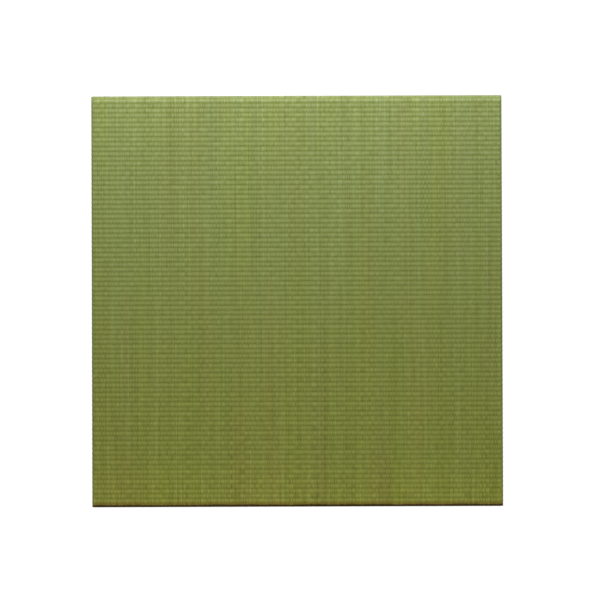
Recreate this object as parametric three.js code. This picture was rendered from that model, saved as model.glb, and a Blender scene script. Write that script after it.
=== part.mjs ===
// A borderless square tatami mat: a flat board wrapped in one piece of woven soft rush.
//
// The rush runs from the front edge to the back edge, along Y. It passes over one hidden warp cord and under the
// next, so the facing lies in straight rows along X, one rounded rib over each cord. The facing turns down over
// all four sides. At the left and right the ribs turn down with it, as upright ridges. At the front and back the
// rush itself bends over the edge: one row lies on the bend and two more lie level below it. The turned-down
// sides meet in an upright fold at each corner, where the level rows run out.
//
// Millimetres, +Z up. The origin is under the middle of the mat, on the surface that it lies on.

import * as THREE from "three";

// Overall size, to the tops of the ribs
const MAT_WIDTH = 820; // along the rows
const MAT_DEPTH = 822; // along the rush
const MAT_HEIGHT = 25;

// Weave
const ROW_COUNT = 84; // across the flat top, from the valley at one bend to the valley at the other
const SIDE_ROW_COUNT = 2; // down the front, and down the back
const ROW_RISE = 0.9; // a rib above the valleys beside it
const EDGE_RADIUS = 5; // the bend over the board's edges, measured in the valleys

// Colour of the dried rush
const RUSH_GREEN = 0x7d8547;

// Fineness of the skin
const STEPS_PER_ROW = 4;
const STEPS_PER_BEND = 3;

// The valleys' own box
const VALLEY_HEIGHT = MAT_HEIGHT - ROW_RISE;
const WALL_HEIGHT = VALLEY_HEIGHT - EDGE_RADIUS;
const FLAT_HALF_WIDTH = MAT_WIDTH / 2 - ROW_RISE - EDGE_RADIUS;
const FLAT_HALF_DEPTH = MAT_DEPTH / 2 - ROW_RISE - EDGE_RADIUS;

// One line of the skin: where it lies along its own axis, how far it has turned down over which side's bend,
// and how much of a rib's rise it carries.
function bendLine(side, flatHalf, step, riseAt) {
  const turned = (step / STEPS_PER_BEND) * (Math.PI / 2);
  const along = side * (flatHalf + EDGE_RADIUS * Math.sin(turned));
  return { side, turned, along, rise: ROW_RISE * riseAt(turned) };
}

// The lines down one bend, from its foot to the flat top.
function bendLines(side, flatHalf, riseAt) {
  const lines = [];
  for (let step = STEPS_PER_BEND; step >= 0; step -= 1) {
    lines.push(bendLine(side, flatHalf, step, riseAt));
  }
  return lines;
}

// The lines along the rush. On the left and right bends the level rows of the front and back run out.
function allRushLines() {
  const runOut = (turned) => Math.cos(turned);
  return [
    ...bendLines(-1, FLAT_HALF_WIDTH, runOut),
    ...bendLines(1, FLAT_HALF_WIDTH, runOut).reverse(),
  ];
}

// The lines along the rows, from the foot of the front bend to the foot of the back one. Each bend carries a rib.
function allRowLines() {
  const oneRib = (turned) => Math.sin(2 * turned);
  const stepCount = ROW_COUNT * STEPS_PER_ROW;
  const flatLines = [];
  for (let step = 1; step < stepCount; step += 1) {
    flatLines.push({
      side: 0,
      turned: 0,
      along: FLAT_HALF_DEPTH * ((2 * step) / stepCount - 1),
      rise: ROW_RISE * Math.abs(Math.sin((Math.PI * step) / STEPS_PER_ROW)),
    });
  }
  return [
    ...bendLines(-1, FLAT_HALF_DEPTH, oneRib),
    ...flatLines,
    ...bendLines(1, FLAT_HALF_DEPTH, oneRib).reverse(),
  ];
}

// The point where a line along the rush meets a line along the rows. Near a corner the bend that has turned
// further holds the point, so two bends meet in a mitre.
function skinPoint(rushLine, rowLine) {
  const overSide = rushLine.turned >= rowLine.turned;
  const bend = overSide ? rushLine : rowLine;
  const outward = rowLine.rise * bend.side * Math.sin(bend.turned);
  const drop = EDGE_RADIUS * (1 - Math.cos(bend.turned));
  return new THREE.Vector3(
    rushLine.along + (overSide ? outward : 0),
    rowLine.along + (overSide ? 0 : outward),
    VALLEY_HEIGHT - drop + rowLine.rise * Math.cos(bend.turned),
  );
}

// The left or right wall under one line along the rows, from the foot to the bend, at the given heights.
function wallPoints(side, rowLine, heights) {
  const x = side * (FLAT_HALF_WIDTH + EDGE_RADIUS + rowLine.rise);
  return heights.map((height) => new THREE.Vector3(x, rowLine.along, height));
}

// Gives each point of a stretch its place along a whole line, from first to last.
function placed(points, first, last) {
  const steps = Math.max(points.length - 1, 1);
  return points.map((point, i) => ({ point, at: first + ((last - first) * i) / steps }));
}

// The closed ring round the mat under one line along the rows: up the left wall, over the top, down the right
// wall and back along the flat underside.
function ringAround(rushLines, rowLine, heights) {
  const left = wallPoints(-1, rowLine, heights);
  const right = wallPoints(1, rowLine, heights).reverse();
  const top = rushLines.map((rushLine) => skinPoint(rushLine, rowLine));
  return [
    ...placed(left, 0, 1).slice(0, -1),
    ...placed(top, 1, 2),
    ...placed(right, 2, 3).slice(1),
    { point: left[0], at: 4 },
  ];
}

// Fills the strip between two neighbouring lines with triangles. Lines with different numbers of points keep in
// step by their places.
function fillStrip(triangles, near, far) {
  let i = 0;
  let j = 0;
  while (i < near.length - 1 || j < far.length - 1) {
    const nearNext = i < near.length - 1 ? near[i + 1].at : Infinity;
    const farNext = j < far.length - 1 ? far[j + 1].at : Infinity;
    if (nearNext <= farNext) {
      triangles.push(near[i].point, near[i + 1].point, far[j].point);
      i += 1;
    } else {
      triangles.push(near[i].point, far[j + 1].point, far[j].point);
      j += 1;
    }
  }
}

// The front or back wall, with its rows lying level. Its lowest line is the straight foot.
function fillEndWall(triangles, side, rushLines, heights) {
  const lastLevel = heights.length - 1;
  const lines = heights.map((height, level) => {
    const bulge = Math.abs(Math.sin((Math.PI * level) / STEPS_PER_ROW));
    const points = rushLines.map((rushLine) => {
      const y = side * (FLAT_HALF_DEPTH + EDGE_RADIUS + bulge * rushLine.rise);
      return new THREE.Vector3(rushLine.along, y, height);
    });
    const line = placed(points, 0, 1);
    return level === 0 ? [line[0], line[line.length - 1]] : line;
  });
  for (let level = 0; level < lastLevel; level += 1) {
    const [lower, upper] = [lines[level], lines[level + 1]];
    if (side < 0) fillStrip(triangles, lower, upper);
    else fillStrip(triangles, upper, lower);
  }
}

function matGeometry() {
  const rushLines = allRushLines();
  const rowLines = allRowLines();
  const levelCount = SIDE_ROW_COUNT * STEPS_PER_ROW;
  const levels = Array.from({ length: levelCount + 1 }, (_, i) => (WALL_HEIGHT * i) / levelCount);
  const footAndBend = [0, WALL_HEIGHT];

  const lastRow = rowLines.length - 1;
  const rings = rowLines.map((rowLine, row) =>
    ringAround(rushLines, rowLine, row === 0 || row === lastRow ? levels : footAndBend),
  );
  const triangles = [];
  for (let row = 0; row < lastRow; row += 1) {
    fillStrip(triangles, rings[row], rings[row + 1]);
  }
  fillEndWall(triangles, -1, rushLines, levels);
  fillEndWall(triangles, 1, rushLines, levels);
  return new THREE.BufferGeometry().setFromPoints(triangles);
}

const rush = new THREE.MeshStandardMaterial({ color: RUSH_GREEN, roughness: 0.7, metalness: 0 });

const geometry = matGeometry();
geometry.computeVertexNormals();
const mat = new THREE.Mesh(geometry, rush);
mat.name = "tatami_mat";

const tatami = new THREE.Group();
tatami.add(mat);

export default tatami;
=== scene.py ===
import math

import bmesh
import bpy
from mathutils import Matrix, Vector


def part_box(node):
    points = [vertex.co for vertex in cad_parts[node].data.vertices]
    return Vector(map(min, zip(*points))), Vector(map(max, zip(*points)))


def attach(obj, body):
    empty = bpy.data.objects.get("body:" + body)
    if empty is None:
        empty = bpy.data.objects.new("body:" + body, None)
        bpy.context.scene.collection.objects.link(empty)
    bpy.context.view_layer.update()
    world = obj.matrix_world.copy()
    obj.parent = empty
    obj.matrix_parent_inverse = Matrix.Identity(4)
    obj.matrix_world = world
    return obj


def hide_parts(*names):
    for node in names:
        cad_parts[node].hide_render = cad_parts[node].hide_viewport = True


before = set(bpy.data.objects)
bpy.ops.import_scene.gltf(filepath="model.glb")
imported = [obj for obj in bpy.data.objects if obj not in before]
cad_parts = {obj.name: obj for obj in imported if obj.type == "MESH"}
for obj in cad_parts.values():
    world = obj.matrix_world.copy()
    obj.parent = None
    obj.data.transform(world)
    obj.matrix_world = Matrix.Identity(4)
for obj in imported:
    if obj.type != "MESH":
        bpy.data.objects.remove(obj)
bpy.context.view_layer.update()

mat_low, mat_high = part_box("tatami_mat")

# Board
# A flat pressed board gives the mat its thickness. The facing hides all of it but the plain underside. Its
# edges are eased, so that the rush can be bent over them without breaking.

FACING_DEPTH = 0.0024  # from the tops of the rows down to the board
UNDERSIDE_LIFT = 0.0003  # the foot of the facing stands this much lower
EASED_EDGE = 0.002
EASED_EDGE_STEPS = 2
ROUND_PROFILE = 0.5
BOARD_TAN = (0.30, 0.21, 0.12)
BOARD_FLECK = (0.16, 0.10, 0.05)
CHIPS_PER_METRE = 900.0
CHIP_DETAIL = 3.0
PATCHES_PER_METRE = 14.0
PATCH_DETAIL = 2.0
FLECK_RANGE = (0.5, 0.72)  # of the noise of the chips
PATCH_TONE = (0.8, 1.2)
BOARD_ROUGHNESS = (0.7, 0.9)
CHIP_HEIGHT = 0.0002
CHIP_STRENGTH = 0.3


def live(sockets, name):
    """The socket with this name, or at this place, that the node's settings leave in use."""
    if isinstance(name, int):
        return sockets[name]
    return next(socket for socket in sockets if socket.name == name and socket.enabled)


class Wire:
    """One output in a node tree, or the bare tree. Sums on wires add Math nodes."""

    def __init__(self, tree, socket=None):
        self.tree = tree
        self.socket = socket

    def add(self, kind, settings=(), inputs=(), output=0):
        """Adds a node, its settings first and then the values or wires of its inputs. Gives one output."""
        node = self.tree.nodes.new(kind)
        for name, value in dict(settings).items():
            setattr(node, name, value)
        for name, value in dict(inputs).items():
            socket = live(node.inputs, name)
            if isinstance(value, Wire):
                self.tree.links.new(value.socket, socket)
            else:
                socket.default_value = value
        return Wire(self.tree, live(node.outputs, output)) if node.outputs else None

    def other(self, output):
        """Another output of the same node."""
        return Wire(self.tree, live(self.socket.node.outputs, output))

    def xyz(self):
        split = self.add("ShaderNodeSeparateXYZ", inputs={"Vector": self}, output="X")
        return split, split.other("Y"), split.other("Z")

    def vector(self, x, y, z):
        return self.add("ShaderNodeCombineXYZ", inputs={"X": x, "Y": y, "Z": z})

    def math(self, operation, *terms):
        return self.add("ShaderNodeMath", {"operation": operation}, dict(enumerate(terms)))

    def __add__(self, term):
        return self.math("ADD", self, term)

    __radd__ = __add__

    def __sub__(self, term):
        return self.math("SUBTRACT", self, term)

    def __rsub__(self, term):
        return self.math("SUBTRACT", term, self)

    def __mul__(self, term):
        return self.math("MULTIPLY", self, term)

    __rmul__ = __mul__

    def __truediv__(self, term):
        return self.math("DIVIDE", self, term)

    def __pow__(self, term):
        return self.math("POWER", self, term)

    def __mod__(self, term):
        return self.math("FLOORED_MODULO", self, term)

    def __gt__(self, term):
        return self.math("GREATER_THAN", self, term)

    def __neg__(self):
        return self.math("MULTIPLY", self, -1)

    def __abs__(self):
        return self.math("ABSOLUTE", self)

    def sign(self):
        return self.math("SIGN", self)

    def floor(self):
        return self.math("FLOOR", self)

    def sine(self):
        return self.math("SINE", self)

    def cosine(self):
        return self.math("COSINE", self)

    def low(self, term):
        return self.math("MINIMUM", self, term)

    def high(self, term):
        return self.math("MAXIMUM", self, term)

    def clamp(self):
        return self.high(0).low(1)

    def centred(self):
        """A value that runs from 0 to 1, moved to lie evenly about 0."""
        return self - 0.5

    def ranging(self, first, last):
        """A value that runs from 0 to 1, made to run from first to last."""
        return self * (last - first) + first

    def between(self, first, last):
        """0 up to first, 1 from last on, and a smooth step in between."""
        return self.add(
            "ShaderNodeMapRange",
            {"interpolation_type": "SMOOTHSTEP"},
            {"Value": self, "From Min": first, "From Max": last},
        )


def noise(place, scale, detail):
    """Soft noise over a place, from 0 to 1."""
    return place.add("ShaderNodeTexNoise", inputs={"Vector": place, "Scale": scale, "Detail": detail})


def mixed(first, second, share):
    """A colour that is share of the way from first to second."""
    return share.add(
        "ShaderNodeMix",
        {"data_type": "RGBA"},
        {"Factor": share, "A": first, "B": second},
        "Result",
    )


def scaled(colour, amount):
    """A colour made lighter or darker by a wire."""
    return amount.add("ShaderNodeVectorMath", {"operation": "SCALE"}, {0: colour, "Scale": amount})


def rgba(colour):
    return (*colour, 1.0)


def new_material(name):
    """An empty material, and its bare tree."""
    material = bpy.data.materials.new(name)
    material.use_nodes = True
    material.node_tree.nodes.clear()
    return material, Wire(material.node_tree)


def finish_material(tree, inputs):
    """The material's surface, from the values and wires of a Principled node."""
    surface = tree.add("ShaderNodeBsdfPrincipled", inputs=inputs)
    tree.add("ShaderNodeOutputMaterial", inputs={"Surface": surface})


def place_piece(name, mesh):
    piece = bpy.data.objects.new(name, mesh)
    bpy.context.scene.collection.objects.link(piece)
    return piece


def pressed_board():
    material, tree = new_material("pressed_board")
    spot = tree.add("ShaderNodeTexCoord", output="Object")
    chips = noise(spot, CHIPS_PER_METRE, CHIP_DETAIL)
    patches = noise(spot, PATCHES_PER_METRE, PATCH_DETAIL)
    colour = mixed(rgba(BOARD_TAN), rgba(BOARD_FLECK), chips.between(*FLECK_RANGE))
    relief = tree.add(
        "ShaderNodeBump", inputs={"Strength": CHIP_STRENGTH, "Distance": CHIP_HEIGHT, "Height": chips}
    )
    finish_material(
        tree,
        {
            "Base Color": scaled(colour, patches.ranging(*PATCH_TONE)),
            "Roughness": chips.ranging(*BOARD_ROUGHNESS),
            "Normal": relief,
        },
    )
    return material


def board_mesh():
    low = mat_low + Vector((FACING_DEPTH, FACING_DEPTH, UNDERSIDE_LIFT))
    high = mat_high - Vector((FACING_DEPTH, FACING_DEPTH, FACING_DEPTH))
    block = bmesh.new()
    bmesh.ops.create_cube(block, size=1.0)
    bmesh.ops.scale(block, vec=high - low, verts=block.verts)
    bmesh.ops.translate(block, vec=(low + high) / 2, verts=block.verts)
    bmesh.ops.bevel(
        block,
        geom=block.edges[:],
        offset=EASED_EDGE,
        segments=EASED_EDGE_STEPS,
        profile=ROUND_PROFILE,
        affect="EDGES",
    )
    mesh = bpy.data.meshes.new("board")
    block.to_mesh(mesh)
    block.free()
    mesh.materials.append(pressed_board())
    return mesh


board = place_piece("board", board_mesh())
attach(board, "root")

# Ground of the facing
# Cotton warp cords run across the mat, one under each row, and the rush that dives below them closes the
# cloth between the floats. The weaving is drawn tight over the board and turned down on all four sides.

ROW_COUNT = 84  # across the flat top
SIDE_ROW_COUNT = 2  # down the front, and down the back, below the one row on the bend
ROW_RISE = 0.0009  # a row above the valleys beside it
BEND_RADIUS = 0.005
SIDE_FLATTENING = 0.4  # what the rows lose where they are pulled down over the left and right edges
GROUND_SINK = 0.0005  # the ground below the floats
STEPS_PER_ROW = 4
STEPS_PER_BEND = 3
SEAM = 1e-5  # points nearer than this are joined
STRANDS_PER_METRE = (1400.0, 90.0, 1400.0)  # across the rush, along it and upright
STRAND_DETAIL = 2.0
STRAND_RANGE = (0.35, 0.7)  # of the noise of the strands
# The ground is darker than the floats: painted shade in the gaps between them.
GROUND_SHADE_OLIVE = (0.120, 0.146, 0.016)
GROUND_SHADE_BROWN = (0.116, 0.122, 0.012)
GROUND_SHADE_DARK = (0.045, 0.030, 0.004)  # painted shade, at the front and in the folds at the corners
GROUND_FRONT_SHADE_RUN = (0.0, 0.004)  # metres past the start of the front bend
CORNER_SHADE_RUN = (0.001, 0.003)  # metres past the start of both bends
GROUND_ROUGHNESS = (0.7, 0.9)
GROUND_GLOSS = 0.1

valley_height = mat_high.z - ROW_RISE
wall_height = valley_height - BEND_RADIUS
flat_half_width = mat_high.x - ROW_RISE - BEND_RADIUS
flat_half_depth = mat_high.y - ROW_RISE - BEND_RADIUS
rows_each_way = ROW_COUNT // 2
row_pitch = flat_half_depth / rows_each_way
bend_run = BEND_RADIUS * math.pi / 2
flat_reach_across = flat_half_width + bend_run + wall_height
# Laid out flat, the row on the bend and the rows below it are each a full row pitch long.
flat_reach_along = flat_half_depth + row_pitch * (1 + SIDE_ROW_COUNT)

fold_sizes = {
    "Flat Half Width": flat_half_width,
    "Flat Half Depth": flat_half_depth,
    "Bend Radius": BEND_RADIUS,
    "Wall Height": wall_height,
    "Row Pitch": row_pitch,
}


def input_kind(value):
    """The kind of tree input that takes this value."""
    if isinstance(value, bpy.types.Material):
        return "NodeSocketMaterial"
    return "NodeSocketInt" if isinstance(value, int) else "NodeSocketFloat"


def shape_tree(name, sizes):
    """A Geometry Nodes tree with a named input for each size, and the wires of its inputs by name."""
    tree = bpy.data.node_groups.new(name, "GeometryNodeTree")
    tree.interface.new_socket("Geometry", in_out="OUTPUT", socket_type="NodeSocketGeometry")
    tree.interface.new_socket("Geometry", in_out="INPUT", socket_type="NodeSocketGeometry")
    for size, value in sizes.items():
        tree.interface.new_socket(size, in_out="INPUT", socket_type=input_kind(value))
    start = Wire(tree).add("NodeGroupInput")
    return Wire(tree), {size: start.other(size) for size in ("Geometry", *sizes)}


def finish_tree(geometry, material):
    smooth = geometry.add("GeometryNodeSetShadeSmooth", inputs={"Geometry": geometry})
    dressed = geometry.add("GeometryNodeSetMaterial", inputs={"Geometry": smooth, "Material": material})
    geometry.add("NodeGroupOutput", inputs={"Geometry": dressed})


def shaped(name, mesh, tree, sizes):
    """A piece with the plain mesh that a tree makes of this one."""
    piece = place_piece(name, mesh)
    modifier = piece.modifiers.new("shape", "NODES")
    modifier.node_group = tree
    for item in tree.interface.items_tree:
        if item.in_out == "INPUT" and item.name != "Geometry":
            modifier[item.identifier] = sizes[item.name]
    depsgraph = bpy.context.evaluated_depsgraph_get()
    made = bpy.data.meshes.new_from_object(
        piece.evaluated_get(depsgraph), preserve_all_data_layers=True, depsgraph=depsgraph
    )
    piece.modifiers.remove(modifier)
    piece.data = made
    made.name = name
    return piece


def fold_down(geometry, size):
    """Folds flat weaving down over the board. On it x runs across the rush and y along it, both from the
    middle of the mat, and z is the height above the valleys. Near a corner the side that has dropped further
    holds a point, so two bends meet in a mitre, and heights run out towards the fold."""
    radius, wall, pitch = size["Bend Radius"], size["Wall Height"], size["Row Pitch"]

    def turned(distance, flat, run, fall):
        """The place and the drop of a point this far from the middle, and its height's shares out and up."""
        beyond = abs(distance) - flat
        angle = (beyond / run).clamp() * (math.pi / 2)
        side = distance.sign()
        sine = angle.sine()
        cosine = angle.cosine()
        place = side * (abs(distance).low(flat) + radius * sine)
        drop = radius * (1 - cosine) + (beyond - run).high(0) * fall
        return place, drop, side * sine, cosine

    across, along, height = geometry.add("GeometryNodeInputPosition").xyz()
    level_fall = wall / (SIDE_ROW_COUNT * pitch)
    x, x_drop, x_out, x_up = turned(across, size["Flat Half Width"], radius * (math.pi / 2), 1.0)
    y, y_drop, y_out, y_up = turned(along, size["Flat Half Depth"], pitch, level_fall)
    end_holds = y_drop > x_drop  # 1 where the front or the back holds a point
    height = height * x_up.high(y_up) * (1 - SIDE_FLATTENING * abs(x_out))
    up = x_up + end_holds * (y_up - x_up)
    folded = geometry.vector(
        x + height * (1 - end_holds) * x_out,
        y + height * end_holds * y_out,
        (wall + radius - x_drop.high(y_drop) + height * up).high(0),
    )
    return geometry.add("GeometryNodeSetPosition", inputs={"Geometry": geometry, "Position": folded})


def fold_lines(flat, run, reach, steps):
    """Where lines cross the weaving past its flat top, on the plus side: the bend, then down to the foot."""
    bend = [flat + run * step / STEPS_PER_BEND for step in range(STEPS_PER_BEND + 1)]
    wall = [flat + run + (reach - flat - run) * step / steps for step in range(1, steps + 1)]
    return bend + wall


def ground_mesh():
    """The ground laid out flat, less the corners that the fold takes in."""
    plus_across = fold_lines(flat_half_width, bend_run, flat_reach_across, 1)
    plus_along = fold_lines(flat_half_depth, row_pitch, flat_reach_along, SIDE_ROW_COUNT * STEPS_PER_ROW)
    inner = [row_pitch * step / STEPS_PER_ROW for step in range(rows_each_way * STEPS_PER_ROW)]
    half_along = inner + plus_along
    lines_across = [-line for line in reversed(plus_across)] + plus_across
    lines_along = [-line for line in reversed(half_along[1:])] + half_along
    points = [
        (across, along, ROW_RISE * abs(math.sin(math.pi * along / row_pitch)) - GROUND_SINK)
        for along in lines_along
        for across in lines_across
    ]
    width = len(lines_across)
    faces = []
    for line in range(len(lines_along) - 1):
        reach_along = max(abs(lines_along[line]), abs(lines_along[line + 1]))
        for i in range(width - 1):
            reach_across = max(abs(lines_across[i]), abs(lines_across[i + 1]))
            past_side = reach_across > flat_half_width + bend_run + SEAM
            past_front = reach_along > flat_half_depth + row_pitch + SEAM
            if not (past_side and past_front):
                near = line * width + i
                faces.append((near, near + 1, near + width + 1, near + width))
    mesh = bpy.data.meshes.new("facing_ground")
    mesh.from_pydata(points, [], faces)
    return mesh


def ground_tree(sizes):
    tree, size = shape_tree("ground of the facing", sizes)
    folded = fold_down(size["Geometry"], size)
    joined = tree.add("GeometryNodeMergeByDistance", inputs={"Geometry": folded, "Distance": size["Seam"]})
    finish_tree(joined, size["Material"])
    return tree.tree


def ground_rush():
    material, tree = new_material("ground_rush")
    spot = tree.add("ShaderNodeTexCoord", output="Object")
    stretched = tree.add("ShaderNodeMapping", inputs={"Vector": spot, "Scale": STRANDS_PER_METRE})
    strands = noise(stretched, 1.0, STRAND_DETAIL)
    # The ground's olive and brown are darkened as painted shade in the gaps between the floats.
    colour = mixed(rgba(GROUND_SHADE_OLIVE), rgba(GROUND_SHADE_BROWN), strands.between(*STRAND_RANGE))
    across, along, _ = spot.xyz()
    # Painted shade: darker at the front and in the folds at the corners.
    front = (-along - flat_half_depth).between(*GROUND_FRONT_SHADE_RUN)
    corner = (abs(across) - flat_half_width).low(abs(along) - flat_half_depth).between(*CORNER_SHADE_RUN)
    finish_material(
        tree,
        {
            "Base Color": mixed(colour, rgba(GROUND_SHADE_DARK), front.high(corner)),
            "Roughness": strands.ranging(*GROUND_ROUGHNESS),
            "Specular IOR Level": GROUND_GLOSS,
        },
    )
    return material


ground_sizes = {**fold_sizes, "Seam": SEAM, "Material": ground_rush()}
ground = shaped("facing_ground", ground_mesh(), ground_tree(ground_sizes), ground_sizes)
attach(ground, "root")
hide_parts("tatami_mat")

# Rush
# Dried stems of soft rush are the weft. Each stem floats over one cord and dives under the next, and its
# neighbours do the opposite, so every other row shows the same stem. Stems lie root to tip by turns. Here
# they are laid in strips, side by side, each one whole from the foot of the front to that of the back.

STRIP_COUNT = 5
FLOATS_PER_STRIP = 124  # side by side in one row
FLOAT_LENGTH = 1.1  # in rows, with the ends that dive
FLOAT_SIDE_DROP = 0.45  # a float's sides below its crest, as a share of the rise
FLOAT_TAPER = 0.45  # what a float's width loses towards its ends
FLOAT_TAPER_POWER = 3
FLOAT_STEPS_ACROSS = 2
FLOAT_STEPS_ALONG = 4
FLOAT_WIDTH_RANGE = (0.98, 1.12)  # of the float pitch
FLOAT_HEIGHT_RANGE = (0.92, 1.0)  # of the rise
MEANDER = 0.0008  # how far a stem strays to the side
MEANDER_STEPS = (3.71, 0.09)  # through the noise, for each stem and each row
WAVER = 0.08  # how far a row strays along the rush, in rows
WAVER_STEPS = (30.0, 5.3)  # through the noise, for each metre across and each row
JITTER = 0.03  # how far one float strays along the rush, in rows
SOFT_NOISE, FINE_NOISE = 1.0, 2.0  # detail of the noise
NOISE_ROUGHNESS = 0.7
CORNER_CLEARANCE = 0.0045  # how far past the flat top the level rows of the front and back run
CHART_SHARE_ACROSS, CHART_SHARE_ALONG = 0.92, 0.94  # what a float fills of its own cell in the bake chart
WEAVE_SEED = 7
SEEDS_PER_STRIP = 10

rows_in_all = 2 * (rows_each_way + 1 + SIDE_ROW_COUNT)
float_pitch = 2 * flat_reach_across / (STRIP_COUNT * FLOATS_PER_STRIP)


def stored(geometry, name, kind, value, domain="POINT"):
    return geometry.add(
        "GeometryNodeStoreNamedAttribute",
        {"data_type": kind, "domain": domain},
        {"Geometry": geometry, "Name": name, "Value": value},
    )


def read_back(tree, name, kind):
    return tree.add("GeometryNodeInputNamedAttribute", {"data_type": kind}, {"Name": name}, "Attribute")


def drawn(first, last, number, seed):
    """A random value for each number, from first to last."""
    return number.add(
        "FunctionNodeRandomValue",
        {"data_type": "FLOAT"},
        {"Min": first, "Max": last, "ID": number, "Seed": seed},
        "Value",
    )


def cloud(x, y, steps, detail, output=0):
    """Soft noise over two wires, with so many steps through it for one of either."""
    place = x.vector(x * steps[0], y * steps[1], 0.0)
    return x.add(
        "ShaderNodeTexNoise",
        {"noise_dimensions": "2D"},
        {"Vector": place, "Scale": 1.0, "Detail": detail, "Roughness": NOISE_ROUGHNESS},
        output,
    )


def one_float(tree):
    """A float of unit size: an arched strip, rounded across and narrowed to both ends."""
    blank = tree.add(
        "GeometryNodeMeshGrid",
        inputs={
            "Size X": 1.0,
            "Size Y": 1.0,
            "Vertices X": FLOAT_STEPS_ACROSS + 1,
            "Vertices Y": FLOAT_STEPS_ALONG + 1,
        },
    )
    x, y, _ = tree.add("GeometryNodeInputPosition").xyz()
    arch = y * (math.pi * FLOAT_LENGTH)
    taper = 1 - FLOAT_TAPER * (2 * abs(y)) ** FLOAT_TAPER_POWER
    crest = arch.cosine() - FLOAT_SIDE_DROP * (2 * abs(x)) ** 2
    place = tree.vector(x * taper, y, crest)
    bent = tree.add("GeometryNodeSetPosition", inputs={"Geometry": blank, "Position": place})
    return stored(bent, "blank", "FLOAT_VECTOR", tree.vector(x, y, 0.0))


def float_points(tree, size):
    """A point for each float of a strip, row by row, that knows its stem and its row. Stems are numbered
    from the left, two to the space of one float, and rows from the middle of the mat."""
    number = tree.add("GeometryNodeInputIndex")
    line = (number / size["Float Count"]).floor()
    row = line - (size["Row Count"] - 1) / 2
    stem = 2 * (size["First Float"] + number - line * size["Float Count"]) + line % 2
    meander = cloud(stem, row, MEANDER_STEPS, SOFT_NOISE).centred() * MEANDER
    across = (stem + 0.5) * size["Float Pitch"] / 2 - size["Reach Across"] + meander
    waver = cloud(across, row, WAVER_STEPS, FINE_NOISE).centred() * WAVER
    along = (row + waver + drawn(-JITTER, JITTER, number, size["Seed"])) * size["Row Pitch"]
    points = tree.add(
        "GeometryNodePoints",
        inputs={
            "Count": size["Float Count"] * size["Row Count"],
            "Position": tree.vector(across, along, 0.0),
        },
    )
    points = stored(points, "stem", "FLOAT", stem)
    points = stored(points, "row", "FLOAT", row)
    on_side_row = abs(row) > rows_each_way + 1
    past_corner = abs(across) > size["Flat Half Width"] + CORNER_CLEARANCE
    return tree.add(
        "GeometryNodeDeleteGeometry",
        {"domain": "POINT"},
        {"Geometry": points, "Selection": on_side_row * past_corner},
    )


def charted(weave, size):
    """The weave with a bake chart, in which each float has a cell of its own."""
    cell_x, cell_y, _ = read_back(weave, "blank", "FLOAT_VECTOR").xyz()
    column = (read_back(weave, "stem", "FLOAT") - 2 * size["First Float"]) / 2 + 0.5
    line = read_back(weave, "row", "FLOAT") + size["Row Count"] / 2
    chart = weave.vector(
        (column + CHART_SHARE_ACROSS * cell_x) / (size["Float Count"] + 0.5),
        (line + CHART_SHARE_ALONG * cell_y) / size["Row Count"],
        0.0,
    )
    return stored(weave, "OFBake", "FLOAT2", chart, "CORNER")


def rush_tree(sizes):
    tree, size = shape_tree("woven rush", sizes)
    number = tree.add("GeometryNodeInputIndex")
    points = float_points(tree, size)
    float_size = tree.vector(
        drawn(*FLOAT_WIDTH_RANGE, number, size["Seed"] + 1) * size["Float Pitch"],
        size["Row Pitch"] * FLOAT_LENGTH,
        drawn(*FLOAT_HEIGHT_RANGE, number, size["Seed"] + 2) * size["Row Rise"],
    )
    floats = tree.add(
        "GeometryNodeInstanceOnPoints",
        inputs={"Points": points, "Instance": one_float(tree), "Scale": float_size},
    )
    weave = tree.add("GeometryNodeRealizeInstances", inputs={"Geometry": floats})
    x, y, _ = tree.add("GeometryNodeInputPosition").xyz()
    weave = stored(weave, "layout", "FLOAT_VECTOR", tree.vector(x, y, 0.0))
    finish_tree(fold_down(charted(weave, size), size), size["Material"])
    return tree.tree


# The green end is partly painted sheen from the light beyond the back edge, greyer than the rush's own
# green.
RUSH_GREEN_AND_SHEEN = (0.188, 0.228, 0.069)
RUSH_OLIVE = (0.190, 0.211, 0.0305)
RUSH_TAN = (0.220, 0.178, 0.038)
RUSH_SHEEN_PALE = (0.320, 0.380, 0.160)  # painted sheen, at the back edge
RUSH_RIPE = (0.330, 0.310, 0.034)  # in some stems, over the last rows at the front
FOLD_SHADE_BROWN = (0.215, 0.165, 0.018)  # painted shade with a brown tint, where the rush starts to bend down at the front
BEND_SHADE_BROWN = (0.058, 0.034, 0.003)  # dark painted shade with a brown tint, on the front bend
WALL_SHADE_BROWN = (0.105, 0.068, 0.007)  # painted shade with a brown tint, down the sides, and most of all down the front

# Over the mat: places are metres from its middle, towards the back if nothing else is said
GREEN_AND_SHEEN_RANGE = (-0.50, 0.35)  # the rush turns from olive to a greyer green, partly its own hue and partly painted sheen
TAN_RANGE = (0.4, 0.8)  # of the noise of the tan bands
OWN_TAN = 0.05  # what a stem adds to that noise, at most
TAN_SHARE, TAN_SHARE_LOST = 0.28, 0.13  # in the tan bands, and what the green end has less
RIPE_RANGE = (0.30, 0.385)  # towards the front
RIPE_SHARE = 0.24  # at most, in one stem

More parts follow.
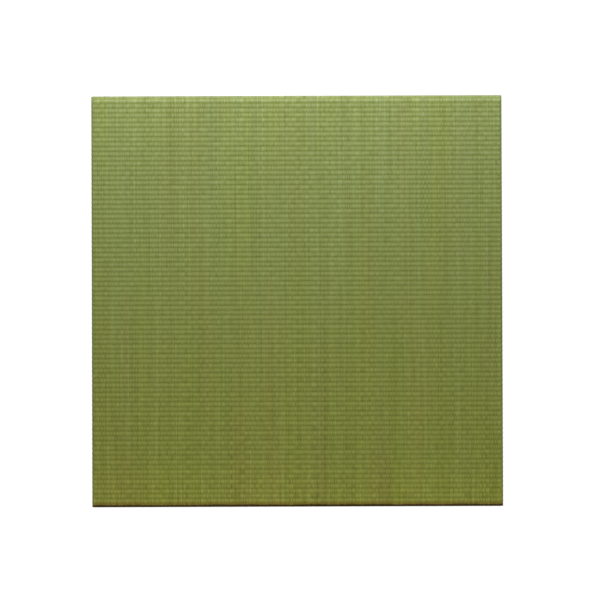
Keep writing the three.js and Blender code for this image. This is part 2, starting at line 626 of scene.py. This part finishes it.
# Near the edges: shares of a colour, and their runs in metres past the start of the back or front bend. The
# back's colour is painted sheen, and the front's and the sides' is painted shade with a brown tint.
EDGE_SHEEN_SHARE = 0.45
EDGE_SHEEN_RUN = (-0.012, 0.001)
BACK_SHEEN_SHARE = 0.08
BACK_SHEEN_RUN = (-0.12, 0.0)
FOLD_SHADE_SHARE = 0.9
FOLD_SHADE_RUN = (-0.007, 0.001)
BEND_SHADE_RUN = (0.0015, 0.004)
FRONT_WALL_SHADE_RUN = (0.006, 0.012)
WALL_SHADE_SHARE = 0.4  # on the other sides
WALL_SHADE_RUN = (-0.005, 0.003)  # past the foot of their bends
SHADE_STEM_STRAY = 0.0015  # how far the start of the painted shade strays from stem to stem
SHADE_BAND_STRAY = 0.004  # and from band to band

# Steps through the noise, for each metre across and each metre along
SHEAF_STEPS = (45.0, 1.0)  # sheaves of stems that are equally light
HUE_STEPS = (24.0, 1.6)  # broader bands that are equally tan or green
KNOT_STEPS = (110.0, 60.0)  # small flecks
FIBRE_STEPS = (7000.0, 120.0)
DRIFT_STEPS = (7.31, 3.0)  # for each stem, and for each metre along it

# Brightness: how much of it each difference makes
STEM_TONE = 0.16
DRIFT_TONE = 0.62  # along one stem
SHEAF_TONE = 0.175
KNOT_TONE = 0.36
FIBRE_TONE = 0.08
CALM_PLACE = 0.05  # the rush is most even here along the mat
CALM_STRAY, OFF_CALM_STRAY = 0.9, 3.2  # how strong the differences are there, and what they gain away from it
# How much lighter the rush gets away from the calm place, with the square of the distance
OFF_CALM_TONE = 0.35
ROOT_TONE = 0.11  # for each metre: neighbouring stems lie root to tip, and roots are lighter
ROOT_PLACE = 0.24  # neighbouring rows are equally light here along the mat

# Across one row: painted shade in the valleys between rows and on the flanks turned from the light
VALLEY_SHADE, VALLEY_SHADE_GAIN = 0.04, 0.09  # at the olive end, and what the green end has more
VALLEY_SHADE_RED_LOSS = 0.04
VALLEY_SHADE_BLUE_LOSS = 0.28
FLANK_SHADE = 0.055
FLANK_LEAN = 0.54  # radians, towards the back

# Blue in the colour: the least, and what single stems and broad bands add
BLUE = 0.764
STEM_BLUE = 0.03
BAND_BLUE = 0.45
TONE_BLUE = 0.67  # power: lighter stems are greyer

RUSH_ROUGHNESS = (0.46, 0.62)
RUSH_GLOSS = 0.22
FIBRE_HEIGHT = 0.0001
FIBRE_STRENGTH = 0.25


def tinted(colour, amounts):
    """A colour with each channel made lighter or darker by its own amount."""
    return amounts.add("ShaderNodeVectorMath", {"operation": "MULTIPLY"}, {0: colour, 1: amounts})


def edged(base, across, along, own_tan, hue_blue):
    """The rush with painted sheen towards the back edge, ripe in some stems at the front, and painted shade
    with a brown tint on the front fold, bend and wall and more lightly down the other sides.
    """
    past_back = along - flat_half_depth
    # Painted sheen: lighter and whiter towards the back edge, most of all on the bend.
    edge = past_back.between(*EDGE_SHEEN_RUN) * EDGE_SHEEN_SHARE
    pale = edge + past_back.between(*BACK_SHEEN_RUN) * BACK_SHEEN_SHARE
    base = mixed(base, rgba(RUSH_SHEEN_PALE), pale)
    ripe = (-along).between(*RIPE_RANGE)
    base = mixed(base, rgba(RUSH_RIPE), ripe * own_tan * RIPE_SHARE)
    # Painted shade with a brown tint on the front fold, bend and wall, and more lightly down the other
    # sides.
    stray = own_tan.centred() * SHADE_STEM_STRAY + hue_blue.centred() * SHADE_BAND_STRAY
    past_front = stray - along - flat_half_depth
    base = mixed(base, rgba(FOLD_SHADE_BROWN), past_front.between(*FOLD_SHADE_RUN) * FOLD_SHADE_SHARE)
    base = mixed(base, rgba(BEND_SHADE_BROWN), past_front.between(*BEND_SHADE_RUN))
    below = (abs(across) - flat_half_width - bend_run).high(abs(along) - flat_half_depth - row_pitch)
    wall_shade = below.between(*WALL_SHADE_RUN) * WALL_SHADE_SHARE
    return mixed(base, rgba(WALL_SHADE_BROWN), wall_shade.high(past_front.between(*FRONT_WALL_SHADE_RUN)))


def dried_rush():
    material, tree = new_material("dried_rush")
    layout = tree.add("ShaderNodeAttribute", {"attribute_name": "layout"}, output="Vector")
    across, along, _ = layout.xyz()
    stem = tree.add("ShaderNodeAttribute", {"attribute_name": "stem"}, output="Fac")
    chance = tree.add("ShaderNodeTexWhiteNoise", {"noise_dimensions": "1D"}, {"W": stem}, "Color")
    own_tone, own_tan, own_blue = chance.xyz()
    sheaf = cloud(across, along, SHEAF_STEPS, FINE_NOISE)
    hue_tan, hue_blue, _ = cloud(across, along, HUE_STEPS, SOFT_NOISE, "Color").xyz()
    drift = cloud(stem, along, DRIFT_STEPS, SOFT_NOISE)
    knots = cloud(across, along, KNOT_STEPS, FINE_NOISE)
    fibre = cloud(across, along, FIBRE_STEPS, FINE_NOISE)

    # Olive at the front, greener and greyer at the back: partly the rush's own hue, partly painted sheen.
    green_and_sheen = along.between(*GREEN_AND_SHEEN_RANGE)
    base = mixed(rgba(RUSH_OLIVE), rgba(RUSH_GREEN_AND_SHEEN), green_and_sheen)
    tan = (own_tan * OWN_TAN + hue_tan).between(*TAN_RANGE)
    base = mixed(base, rgba(RUSH_TAN), tan * (TAN_SHARE - TAN_SHARE_LOST * green_and_sheen))
    base = edged(base, across, along, own_tan, hue_blue)

    off_calm = (along - CALM_PLACE) ** 2
    strays = (
        own_tone.centred() * STEM_TONE
        + drift.centred() * DRIFT_TONE
        + sheaf.centred() * SHEAF_TONE
        + knots.centred() * KNOT_TONE
        + fibre.centred() * FIBRE_TONE
    )
    root = (stem % 2).centred() * (ROOT_PLACE - along) * ROOT_TONE
    tone = 1 + OFF_CALM_TONE * off_calm + (CALM_STRAY + OFF_CALM_STRAY * off_calm) * strays + root

    # A full turn runs from one valley between rows to the next.
    turn = along * (2 * math.pi / row_pitch)
    valley = (1 + turn.cosine()) / 2
    flank = (turn - FLANK_LEAN).sine() ** 2
    shade = 1 - (VALLEY_SHADE + VALLEY_SHADE_GAIN * green_and_sheen) * valley - FLANK_SHADE * flank
    red = 1 - VALLEY_SHADE_RED_LOSS * valley
    grey = BLUE + STEM_BLUE * own_blue + BAND_BLUE * hue_blue
    blue = grey * (1 - VALLEY_SHADE_BLUE_LOSS * valley) * tone ** TONE_BLUE
    relief = tree.add(
        "ShaderNodeBump", inputs={"Strength": FIBRE_STRENGTH, "Distance": FIBRE_HEIGHT, "Height": fibre}
    )
    finish_material(
        tree,
        {
            "Base Color": scaled(tinted(base, tree.vector(red, 1.0, blue)), tone * shade),
            "Roughness": fibre.ranging(*RUSH_ROUGHNESS),
            "Specular IOR Level": RUSH_GLOSS,
            "Normal": relief,
        },
    )
    return material


rush = dried_rush()


def strip_sizes(strip):
    return {
        **fold_sizes,
        "First Float": strip * FLOATS_PER_STRIP,
        "Float Count": FLOATS_PER_STRIP,
        "Row Count": rows_in_all,
        "Float Pitch": float_pitch,
        "Reach Across": flat_reach_across,
        "Row Rise": ROW_RISE,
        "Seed": WEAVE_SEED + SEEDS_PER_STRIP * strip,
        "Material": rush,
    }


weave_tree = rush_tree(strip_sizes(0))
for strip in range(STRIP_COUNT):
    blank_mesh = bpy.data.meshes.new("rush_strip")
    woven = shaped(f"rush_strip_{strip + 1}", blank_mesh, weave_tree, strip_sizes(strip))
    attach(woven, "root")

# Stage
# A plain white floor glows evenly, so that hardly any shadow shows on it. A soft even surround lights the
# mat from above, and so does one large soft light beyond the back edge.

FLOOR_SIDE = 120.0
FLOOR_GREY = (0.1, 0.1, 0.1)
FLOOR_ROUGHNESS = 0.9
FLOOR_GLOW = 0.96
WHITE = (1.0, 1.0, 1.0)
BLACK = (0.0, 0.0, 0.0)
SKY_STRENGTH = 0.75
HORIZON = 0.05  # half the soft step from black below to white above
KEY_PLACE = Vector((-0.07, 0.84, 0.62))
KEY_AIM = Vector((-0.04, 0.1, 0.0))
KEY_WIDTH, KEY_DEPTH = 1.6, 0.4
KEY_POWER = 10.4  # watts


def white_floor():
    material, tree = new_material("white_floor")
    finish_material(
        tree,
        {
            "Base Color": rgba(FLOOR_GREY),
            "Roughness": FLOOR_ROUGHNESS,
            "Emission Color": rgba(WHITE),
            "Emission Strength": FLOOR_GLOW,
        },
    )
    return material


floor_form = bmesh.new()
bmesh.ops.create_grid(floor_form, x_segments=1, y_segments=1, size=FLOOR_SIDE / 2)
floor_mesh = bpy.data.meshes.new("floor")
floor_form.to_mesh(floor_mesh)
floor_form.free()
floor_mesh.materials.append(white_floor())
floor = place_piece("floor", floor_mesh)
floor.visible_diffuse = False  # it throws no light up the sides
floor.visible_glossy = False

world = bpy.data.worlds.new("surround")
bpy.context.scene.world = world
world.use_nodes = True
world.node_tree.nodes.clear()
surround = Wire(world.node_tree)
_, _, upward = surround.add("ShaderNodeTexCoord", output="Generated").xyz()
sky = mixed(rgba(BLACK), rgba(WHITE), upward.between(-HORIZON, HORIZON))
glow = surround.add("ShaderNodeBackground", inputs={"Color": sky, "Strength": SKY_STRENGTH})
surround.add("ShaderNodeOutputWorld", inputs={"Surface": glow})

key_data = bpy.data.lights.new("key", "AREA")
key_data.shape = "RECTANGLE"
key_data.size = KEY_WIDTH
key_data.size_y = KEY_DEPTH
key_data.energy = KEY_POWER
key = bpy.data.objects.new("key", key_data)
bpy.context.scene.collection.objects.link(key)
key.visible_camera = False
key.location = KEY_PLACE
key.rotation_euler = (KEY_AIM - KEY_PLACE).to_track_quat("-Z", "Y").to_euler()

# Camera
# It looks down on the mat from far off and a little in front of it, so the outline has hardly any taper and
# a thin strip of the front shows.

PICTURE_SIDE = 600  # pixels
MAT_WIDTH_IN_PICTURE = 411.1  # pixels
MAT_CENTRE_IN_PICTURE = (297.05, 300.5)  # pixels
ELEVATION = math.radians(85.5)
ROLL = math.radians(0.2)
LENS = 1200.0  # millimetres
SENSOR = 36.0  # millimetres

metres_per_pixel = (mat_high.x - mat_low.x) / MAT_WIDTH_IN_PICTURE
distance = PICTURE_SIDE * metres_per_pixel * LENS / SENSOR
back = Vector((0.0, -math.cos(ELEVATION), math.sin(ELEVATION)))
camera_data = bpy.data.cameras.new("camera")
camera_data.lens = LENS
camera_data.sensor_width = SENSOR
camera_data.clip_end = 2 * distance
camera = bpy.data.objects.new("camera", camera_data)
bpy.context.scene.collection.objects.link(camera)
facing = back.to_track_quat("Z", "Y").to_matrix()
right, above = facing.col[0], facing.col[1]
aim = (
    Vector((0.0, 0.0, mat_high.z))
    + right * (PICTURE_SIDE / 2 - MAT_CENTRE_IN_PICTURE[0]) * metres_per_pixel
    - above * (PICTURE_SIDE / 2 - MAT_CENTRE_IN_PICTURE[1]) * metres_per_pixel
)
camera.location = aim + back * distance
camera.rotation_euler = facing.to_euler()
camera.rotation_euler.rotate_axis("Z", -ROLL)
bpy.context.scene.camera = camera
bpy.context.scene.view_settings.view_transform = "Standard"
